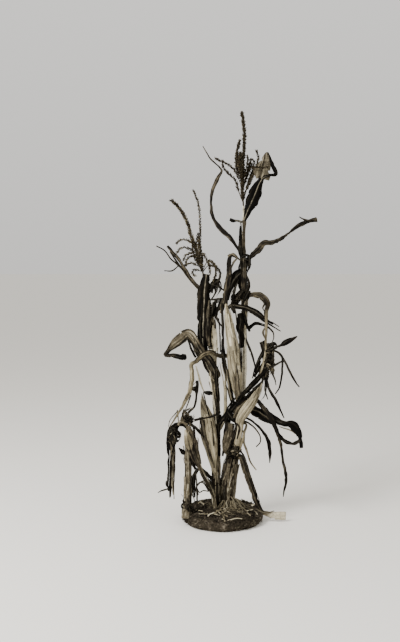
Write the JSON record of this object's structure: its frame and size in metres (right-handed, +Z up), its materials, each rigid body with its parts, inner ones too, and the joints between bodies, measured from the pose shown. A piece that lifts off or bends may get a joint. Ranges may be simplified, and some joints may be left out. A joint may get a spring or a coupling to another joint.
{
  "type": "dry maize plant on its root ball",
  "caption": "Ripe, dry maize plant: tasselled stalks, husked ears and hanging leaves rising from a low cake of soil that stands on its flat underside.",
  "frame": {"origin": "the middle of the root ball's flat underside", "axes": "+Z up along the plant, +X to the viewer's right, -Y towards the viewer"},
  "size_m": [0.6687, 0.397, 1.6507],
  "materials": {
    "soil": "dry crumbly soil, matt",
    "stalk": "dry maize stalk and sheath, fibrous",
    "pale_husk": "dry ear husk, fine ribs",
    "dry_straw_leaf": "dry leaf blade, ribbed",
    "weathered_leaf": "weathered leaf blade, ribbed",
    "dark_leaf": "dark dead leaf blade, ribbed",
    "tassel": "dry spikelets"
  },
  "bodies": {
    "root": {"root_ball": "soil", "stalk_main": "stalk", "stalk_second": "stalk", "stem_side": "stalk", "stem_tiller": "stalk", "ear_long": "pale_husk", "ear_left_wedge": "pale_husk", "ear_slant": "pale_husk", "ear_tiller": "weathered_leaf", "husk_stub": "weathered_leaf", "tassel_main": "tassel", "tassel_second": "tassel", "leaf_flag": "dark_leaf", "leaf_upper_left": "weathered_leaf", "leaf_sliver": "dark_leaf", "leaf_upper_right": "weathered_leaf", "sheath_high": "dark_leaf", "leaf_back_high": "weathered_leaf", "leaf_back_left": "dark_leaf", "leaf_back_low": "dry_straw_leaf", "husk_folded": "weathered_leaf", "leaf_dark_high": "dark_leaf", "leaf_arch_right": "dry_straw_leaf", "leaf_mid_right": "dark_leaf", "leaf_hook_right": "dark_leaf", "leaf_beside_ear": "dark_leaf", "twig_right": "dark_leaf", "leaf_upright": "dark_leaf", "leaf_left_high": "weathered_leaf", "thread_left_high": "tassel", "leaf_knot": "dark_leaf", "leaf_bar": "dark_leaf", "leaf_left_bent": "weathered_leaf", "leaf_left_hanging": "dry_straw_leaf", "leaf_mid_left": "dark_leaf", "strip_pale": "pale_husk", "strip_dark": "dark_leaf", "leaf_crossing": "dark_leaf", "leaf_ear_slant": "dark_leaf", "leaf_low_right": "dark_leaf", "leaf_long_hanging": "weathered_leaf", "leaf_spindle_low": "dark_leaf", "thread_low_right": "tassel", "blade_crossing_a": "dry_straw_leaf", "blade_crossing_b": "dry_straw_leaf", "clump_right": "dark_leaf", "leaf_spindle_right": "dark_leaf", "threads_right": "dark_leaf", "leaf_clump_low": "dark_leaf", "leaf_base_right": "weathered_leaf", "leaf_tiller_dark": "dark_leaf", "leaf_low_left": "dark_leaf", "thread_low_left": "tassel", "clump_left": "weathered_leaf", "leaf_hanging_left": "dark_leaf", "flap_side_stem": "dark_leaf", "leaf_short_left": "dark_leaf"}
  },
  "joints": []
}
